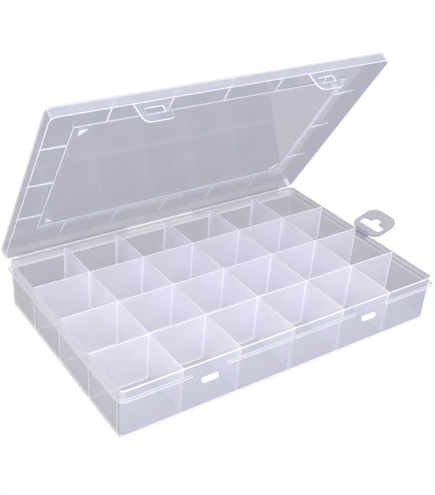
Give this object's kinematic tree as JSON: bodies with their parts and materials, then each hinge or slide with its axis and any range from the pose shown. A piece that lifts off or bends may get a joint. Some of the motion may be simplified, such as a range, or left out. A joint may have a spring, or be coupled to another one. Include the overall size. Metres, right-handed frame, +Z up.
{
  "type": "compartment storage box",
  "caption": "Flat clear plastic storage box with a hinged lid, snap latches, a grid of cells with removable cross dividers, and a folding tab with a hanging slot.",
  "frame": {"origin": "centre of the tray's flat underside", "axes": "+X along the long side towards the hanging tab, +Y across the box towards the hinge, +Z up"},
  "size_m": [0.3859, 0.2361, 0.2358],
  "materials": {
    "tray_plastic": "milky translucent moulded polypropylene, smooth and softly glossy",
    "lid_plastic": "milky translucent moulded polypropylene, smooth and softly glossy",
    "latch_plastic": "milky translucent moulded polypropylene, smooth and softly glossy",
    "tab_plastic": "milky translucent moulded polypropylene, smooth and softly glossy",
    "divider_plastic": "milky translucent moulded polypropylene, smooth and softly glossy"
  },
  "bodies": {
    "tray": {"tray": "tray_plastic"},
    "lid": {"lid": "lid_plastic"},
    "latch_left": {"latch_left": "latch_plastic"},
    "latch_right": {"latch_right": "latch_plastic"},
    "hang_tab": {"hang_tab": "tab_plastic"},
    "divider_row1_1": {"divider_row1_1": "divider_plastic"},
    "divider_row1_2": {"divider_row1_2": "divider_plastic"},
    "divider_row1_3": {"divider_row1_3": "divider_plastic"},
    "divider_row1_4": {"divider_row1_4": "divider_plastic"},
    "divider_row1_5": {"divider_row1_5": "divider_plastic"},
    "divider_row2_1": {"divider_row2_1": "divider_plastic"},
    "divider_row2_2": {"divider_row2_2": "divider_plastic"},
    "divider_row2_3": {"divider_row2_3": "divider_plastic"},
    "divider_row2_4": {"divider_row2_4": "divider_plastic"},
    "divider_row2_5": {"divider_row2_5": "divider_plastic"},
    "divider_row3_1": {"divider_row3_1": "divider_plastic"},
    "divider_row3_2": {"divider_row3_2": "divider_plastic"},
    "divider_row3_3": {"divider_row3_3": "divider_plastic"},
    "divider_row3_4": {"divider_row3_4": "divider_plastic"},
    "divider_row3_5": {"divider_row3_5": "divider_plastic"},
    "divider_row4_1": {"divider_row4_1": "divider_plastic"},
    "divider_row4_2": {"divider_row4_2": "divider_plastic"},
    "divider_row4_3": {"divider_row4_3": "divider_plastic"},
    "divider_row4_4": {"divider_row4_4": "divider_plastic"},
    "divider_row4_5": {"divider_row4_5": "divider_plastic"}
  },
  "joints": [
    {"name": "lid_hinge", "type": "hinge", "parent": "tray", "child": "lid", "pos_m": [0, 0.11735, 0.0376], "axis": [-1, 0, 0], "range_deg": [-57.2, 122.8]},
    {"name": "hang_tab_hinge", "type": "hinge", "parent": "tray", "child": "hang_tab", "pos_m": [0.1735, 0, 0.0388], "axis": [0, -1, 0], "range_deg": [-109, 55]},
    {"name": "latch_left_flex", "type": "hinge", "parent": "lid", "child": "latch_left", "pos_m": [-0.088, -0.00458, 0.23068], "axis": [-1, 0, 0], "range_deg": [0, 12], "stiffness_Nm_per_rad": 0.05},
    {"name": "latch_right_flex", "type": "hinge", "parent": "lid", "child": "latch_right", "pos_m": [0.088, -0.00458, 0.23068], "axis": [-1, 0, 0], "range_deg": [0, 12], "stiffness_Nm_per_rad": 0.05},
    {"name": "divider_row1_1_lift", "type": "slide", "parent": "tray", "child": "divider_row1_1", "axis": [0, 0, 1], "range_m": [0, 0.05]},
    {"name": "divider_row1_2_lift", "type": "slide", "parent": "tray", "child": "divider_row1_2", "axis": [0, 0, 1], "range_m": [0, 0.05]},
    {"name": "divider_row1_3_lift", "type": "slide", "parent": "tray", "child": "divider_row1_3", "axis": [0, 0, 1], "range_m": [0, 0.05]},
    {"name": "divider_row1_4_lift", "type": "slide", "parent": "tray", "child": "divider_row1_4", "axis": [0, 0, 1], "range_m": [0, 0.05]},
    {"name": "divider_row1_5_lift", "type": "slide", "parent": "tray", "child": "divider_row1_5", "axis": [0, 0, 1], "range_m": [0, 0.05]},
    {"name": "divider_row2_1_lift", "type": "slide", "parent": "tray", "child": "divider_row2_1", "axis": [0, 0, 1], "range_m": [0, 0.05]},
    {"name": "divider_row2_2_lift", "type": "slide", "parent": "tray", "child": "divider_row2_2", "axis": [0, 0, 1], "range_m": [0, 0.05]},
    {"name": "divider_row2_3_lift", "type": "slide", "parent": "tray", "child": "divider_row2_3", "axis": [0, 0, 1], "range_m": [0, 0.05]},
    {"name": "divider_row2_4_lift", "type": "slide", "parent": "tray", "child": "divider_row2_4", "axis": [0, 0, 1], "range_m": [0, 0.05]},
    {"name": "divider_row2_5_lift", "type": "slide", "parent": "tray", "child": "divider_row2_5", "axis": [0, 0, 1], "range_m": [0, 0.05]},
    {"name": "divider_row3_1_lift", "type": "slide", "parent": "tray", "child": "divider_row3_1", "axis": [0, 0, 1], "range_m": [0, 0.05]},
    {"name": "divider_row3_2_lift", "type": "slide", "parent": "tray", "child": "divider_row3_2", "axis": [0, 0, 1], "range_m": [0, 0.05]},
    {"name": "divider_row3_3_lift", "type": "slide", "parent": "tray", "child": "divider_row3_3", "axis": [0, 0, 1], "range_m": [0, 0.05]},
    {"name": "divider_row3_4_lift", "type": "slide", "parent": "tray", "child": "divider_row3_4", "axis": [0, 0, 1], "range_m": [0, 0.05]},
    {"name": "divider_row3_5_lift", "type": "slide", "parent": "tray", "child": "divider_row3_5", "axis": [0, 0, 1], "range_m": [0, 0.05]},
    {"name": "divider_row4_1_lift", "type": "slide", "parent": "tray", "child": "divider_row4_1", "axis": [0, 0, 1], "range_m": [0, 0.018]},
    {"name": "divider_row4_2_lift", "type": "slide", "parent": "tray", "child": "divider_row4_2", "axis": [0, 0, 1], "range_m": [0, 0.018]},
    {"name": "divider_row4_3_lift", "type": "slide", "parent": "tray", "child": "divider_row4_3", "axis": [0, 0, 1], "range_m": [0, 0.018]},
    {"name": "divider_row4_4_lift", "type": "slide", "parent": "tray", "child": "divider_row4_4", "axis": [0, 0, 1], "range_m": [0, 0.018]},
    {"name": "divider_row4_5_lift", "type": "slide", "parent": "tray", "child": "divider_row4_5", "axis": [0, 0, 1], "range_m": [0, 0.018]}
  ]
}
